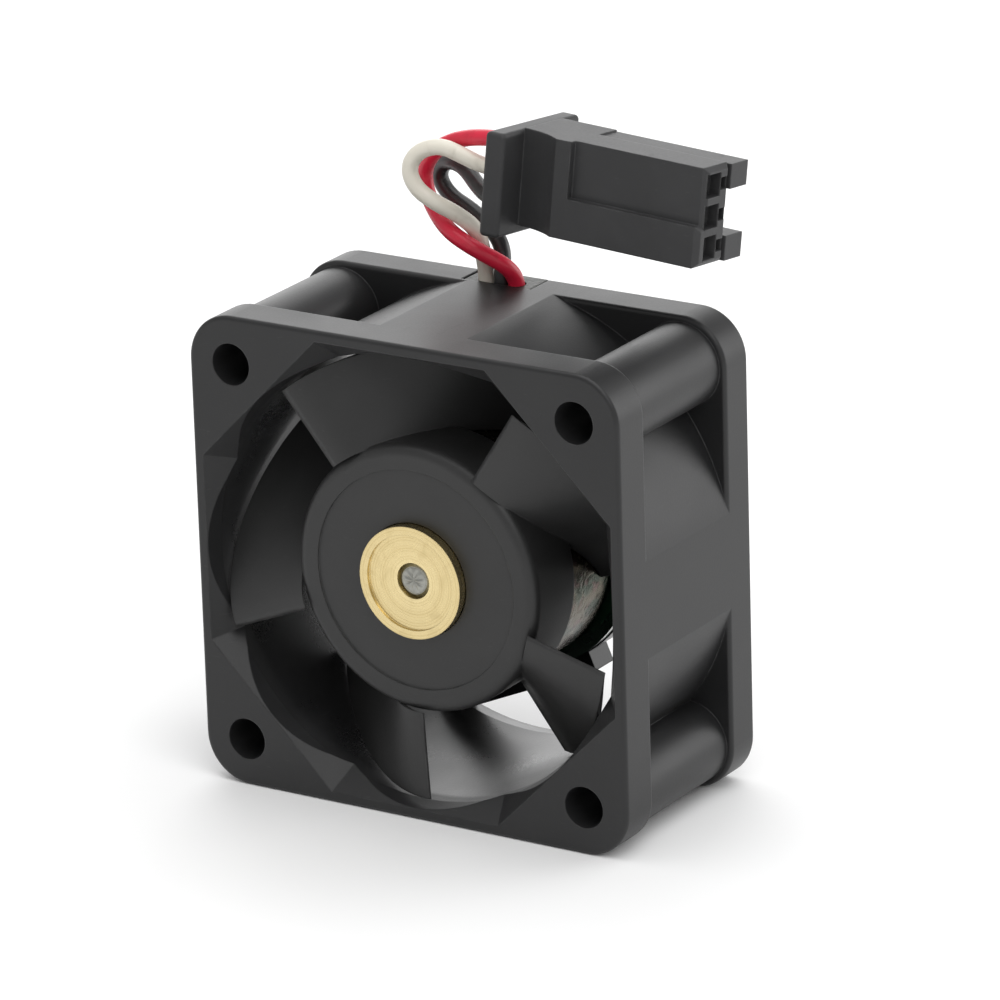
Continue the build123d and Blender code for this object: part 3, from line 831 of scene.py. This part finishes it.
@dataclass
class Lead:
    """A free lead from the notch of the housing to the connector."""

    colour: str
    finish: Finish
    length: float
    route: Sequence[Point]
    diameter: float = 1.35 * MM

    def build(self) -> bpy.types.Object:
        """Make the lead as a round NURBS curve through the route's control points.

        Returns:
            The lead.
        """
        curve = bpy.data.curves.new(f"lead_{self.colour}_wire", "CURVE")
        curve.dimensions = "3D"
        curve.bevel_depth = self.diameter / 2
        curve.bevel_resolution = 6
        curve.resolution_u = 16
        curve.use_fill_caps = True
        spline = curve.splines.new("NURBS")
        spline.points.add(len(self.route) - 1)
        for point, place in zip(spline.points, self.route):
            point.co = (*(MM * value for value in place), 1.0)
        spline.order_u = 3
        spline.use_endpoint_u = True
        wire = bpy.data.objects.new(curve.name, curve)
        bpy.context.scene.collection.objects.link(wire)
        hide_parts(f"lead_{self.colour}")
        seat(wire, Body.HOUSING, self.finish)
        return wire


RED_ROUTE = (
    (-0.05, 7.875, 36.00),
    (-0.05, 7.875, 38.10),
    (-0.05, 7.83, 40.30),
    (-0.28, 6.81, 41.65),
    (-1.51, 5.91, 42.63),
    (-3.02, 5.27, 43.56),
    (-5.06, 5.57, 44.41),
    (-6.80, 6.40, 45.60),
    (-7.90, 6.90, 47.10),
    (-8.00, 6.90, 48.80),
    (-6.80, 6.50, 50.50),
    (-4.73, 6.13, 51.82),
    (-2.00, 5.70, 52.60),
    (1.28, 5.52, 52.77),
    (4.47, 5.44, 52.63),
    (7.77, 5.32, 52.45),
)
WHITE_ROUTE = (
    (-2.95, 7.875, 36.00),
    (-2.95, 7.875, 38.10),
    (-2.95, 7.83, 40.50),
    (-3.06, 7.57, 42.34),
    (-3.12, 6.93, 44.35),
    (-4.15, 5.62, 45.88),
    (-5.50, 4.40, 47.00),
    (-7.00, 3.90, 48.20),
    (-7.60, 3.90, 49.80),
    (-6.60, 4.09, 51.30),
    (-4.68, 4.36, 51.88),
    (-2.87, 4.74, 51.16),
    (-1.30, 5.20, 50.40),
    (1.15, 5.26, 50.29),
    (4.35, 5.18, 50.15),
    (7.64, 5.06, 49.97),
)
BLACK_ROUTE = (
    (-1.50, 7.875, 36.00),
    (-1.50, 7.875, 38.10),
    (-1.50, 7.83, 40.50),
    (-1.63, 8.47, 42.42),
    (-2.85, 8.81, 43.91),
    (-4.80, 8.91, 45.20),
    (-7.10, 9.10, 46.10),
    (-8.20, 9.20, 47.60),
    (-7.10, 8.80, 49.20),
    (-4.60, 7.50, 49.40),
    (-2.30, 6.00, 48.30),
    (-0.90, 5.30, 47.80),
    (1.02, 4.99, 47.80),
    (4.22, 4.91, 47.67),
    (7.51, 4.79, 47.48),
)


@dataclass
class ShaftTip:
    """Staking marks on the front end of the shaft."""

    radius: float = 1.1 * MM
    height: float = 0.12 * MM
    base_share: float = 0.35
    sink: float = 0.02 * MM
    petals: int = 8
    rings: int = 40
    spokes: int = 192

    def build(self) -> bpy.types.Object:
        """Make the marks as a disc whose height is a star of rounded ridges.

        The height falls off towards the rim, and the ridges are the cosine of the angle
        times the number of petals, stronger half-way out. The back of the disc lies just
        below the shaft's end and closes in its middle.

        Returns:
            The disc.
        """
        share = np.linspace(0, 1, self.rings)[:, None]
        turn = np.linspace(0, 2 * pi, self.spokes, endpoint=False)[None, :]
        star = (0.5 + 0.5 * np.cos(self.petals * turn)) ** 0.6 * np.sin(pi * share) ** 0.8
        dome = np.sqrt(np.clip(1 - share**4, 0, 1))
        height = self.height * dome * (self.base_share + (1 - self.base_share) * star)
        front = float(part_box("shaft")[0][1])
        x = self.radius * share * np.cos(turn)
        z = AXIS_HEIGHT + self.radius * share * np.sin(turn)
        face = np.stack([x, front - height, z], axis=2)
        back = np.stack([x[-1:], np.full_like(x[-1:], front + self.sink), z[-1:]], axis=2)
        middle = np.broadcast_to(back.mean(axis=1, keepdims=True), back.shape)
        disc = surface("shaft_tip_marks", np.concatenate([face, back, middle], axis=0))
        return seat(disc, Body.ROTOR, SHAFT_STEEL)


@dataclass
class Windings:
    """Turns of enamelled wire round the four teeth of the stator."""

    teeth: int = 4
    wire: float = 0.24 * MM
    turns: int = 7
    steps: int = 48
    sides: int = 8
    start: float = 5.55 * MM
    width: float = 2.4 * MM
    build_up: float = 0.75 * MM
    layer_share: float = 0.88
    turn_share: float = 0.98
    squareness: float = 6.0

    def build(self) -> bpy.types.Object:
        """Make each winding as one wire laid side by side and layer on layer.

        Returns:
            The windings, which stand for the plain solids.
        """
        low, high = (np.array(corner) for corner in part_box("coils"))
        middle, span = float(low[1] + high[1]) / 2, float(high[1] - low[1])
        layers = int(self.build_up / (self.wire * 0.9)) + 1
        grids = [
            self._layer(tooth, layer, middle, span)
            for tooth in range(self.teeth)
            for layer in range(layers)
        ]
        made = surface("wound_coils", *grids)
        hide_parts("coils")
        return seat(made, Body.HOUSING, COPPER)

    def _layer(self, tooth: int, layer: int, middle: float, span: float) -> np.ndarray:
        """One layer of one winding, its ends drawn to a point.

        The path is a rounded rectangle round the tooth that moves outwards by one wire each
        turn. Each layer lies one wire further from the tooth than the last.

        Args:
            tooth: Number of the tooth.
            layer: Number of the layer, from the tooth outwards.
            middle: Middle of the winding along the depth.
            span: Length of the winding along the depth, outside to outside.

        Returns:
            Grid of the wire's surface.
        """
        count = self.turns - layer % 2
        along = np.linspace(0, count, count * self.steps)
        turn = 2 * pi * along
        raised = layer * self.wire * self.layer_share
        half_depth = span / 2 - self.build_up - self.wire / 2 + raised
        half_width = self.width / 2 + self.wire / 2 + raised
        power = self.squareness
        square = (np.abs(np.cos(turn)) ** power + np.abs(np.sin(turn)) ** power) ** (-1 / power)
        depth = middle + half_depth * square * np.cos(turn)
        side = half_width * square * np.sin(turn)
        out = self.start + (along + 0.5 * (layer % 2)) * self.wire * self.turn_share
        angle = 2 * pi * tooth / self.teeth
        x = out * np.cos(angle) - side * np.sin(angle)
        z = AXIS_HEIGHT + out * np.sin(angle) + side * np.cos(angle)
        path = np.stack([x, depth, z], axis=1)
        outward = np.array([np.cos(angle), 0.0, np.sin(angle)])
        grid = tube(path, self.wire / 2, self.sides, np.broadcast_to(outward, path.shape))
        ends = [np.broadcast_to(path[end], grid[end].shape)[None] for end in (0, -1)]
        return np.concatenate([ends[0], grid, ends[1]], axis=0)


@dataclass
class Studio:
    """Camera at the photograph's viewing angle, pale floor and soft light."""

    camera_place: Point = (0.28661, -0.44546, 0.20962)
    camera_turn: Point = (70.721, 1.639, 31.903)
    lens: float = 251.94
    shift: tuple[float, float] = (-0.0042, -0.0059)
    film_width: float = 36.0
    nearest: float = 0.01
    floor_size: float = 3.0
    floor_tone: float = 0.97
    sky: float = 0.55

    def build(self) -> None:
        """Set up camera, lights, sky and floor."""
        self._camera()
        self._sky()
        self._floor()
        self._softbox("key_light", (0.45, -0.35, 0.60), (42, 0, 52), 0.5, 1.5)
        self._softbox("top_light", (0.00, 0.10, 0.90), (0, 0, 0), 1.0, 4.5)
        self._softbox("side_light", (0.46, 0.55, 0.16), (-80, 0, -40), 0.45, 1.5)
        self._softbox("back_light", (-0.36, 0.56, 0.26), (-71, 0, 32.7), 0.50, 1.5)

    def _camera(self) -> None:
        """Long lens, a little above the fan and to its right."""
        data = bpy.data.cameras.new("camera")
        data.lens = self.lens
        data.sensor_width = self.film_width
        data.shift_x, data.shift_y = self.shift
        data.clip_start = self.nearest
        camera = bpy.data.objects.new("camera", data)
        camera.location = self.camera_place
        camera.rotation_euler = Euler([radians(value) for value in self.camera_turn])
        bpy.context.scene.collection.objects.link(camera)
        bpy.context.scene.camera = camera

    def _sky(self) -> None:
        """Even white surroundings."""
        world = bpy.data.worlds.new("white_surroundings")
        world.use_nodes = True
        sky = world.node_tree.nodes["Background"]
        sky.inputs["Color"].default_value = (1.0, 1.0, 1.0, 1.0)
        sky.inputs["Strength"].default_value = self.sky
        bpy.context.scene.world = world
        bpy.context.scene.view_settings.view_transform = "Standard"

    def _floor(self) -> None:
        """Large pale plane under the fan."""
        half = self.floor_size / 2
        corners = np.array([[-half, -half], [half, -half], [half, half], [-half, half]])
        points = np.hstack([corners, np.full((4, 1), float(HOUSING_LOW[2]))])
        floor = mesh_object("floor", points, np.array([[0, 1, 2, 3]]))
        shader = Shader("floor_paint")
        pale = (self.floor_tone,) * 3
        shader.feed(Base_Color=pale, Roughness=0.9, Specular_IOR_Level=0.1)
        floor.data.materials.append(shader.material)

    def _softbox(self, name: str, place: Point, turn: Point, size: float, power: float) -> None:
        """Add one square soft light.

        Args:
            name: Its name.
            place: Its position in metres.
            turn: Its rotation in degrees; unturned it shines down.
            size: Its side in metres.
            power: Its power in watts.
        """
        data = bpy.data.lights.new(name, "AREA")
        data.size = size
        data.energy = power
        light = bpy.data.objects.new(name, data)
        light.location = place
        light.rotation_euler = Euler([radians(value) for value in turn])
        bpy.context.scene.collection.objects.link(light)


def dress_nodes() -> None:
    """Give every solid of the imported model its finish."""
    for name, finish in FINISH_OF_NODE.items():
        finish.dress(bpy.data.objects[name])
        log.info("%s dressed in %s", name, finish.name)


def main() -> None:
    """Build the pieces in order."""
    logging.basicConfig(level=logging.INFO, format="%(name)s: %(message)s")
    Studio().build()
    dress_nodes()
    # Lengths come from the routes, which were fitted to the photograph
    Lead("red", RED_WIRE, 34.7 * MM, RED_ROUTE).build()
    Lead("white", WHITE_WIRE, 32.7 * MM, WHITE_ROUTE).build()
    Lead("black", BLACK_WIRE, 32.5 * MM, BLACK_ROUTE).build()
    ShaftTip().build()
    Windings().build()


if __name__ == "__main__":
    main()
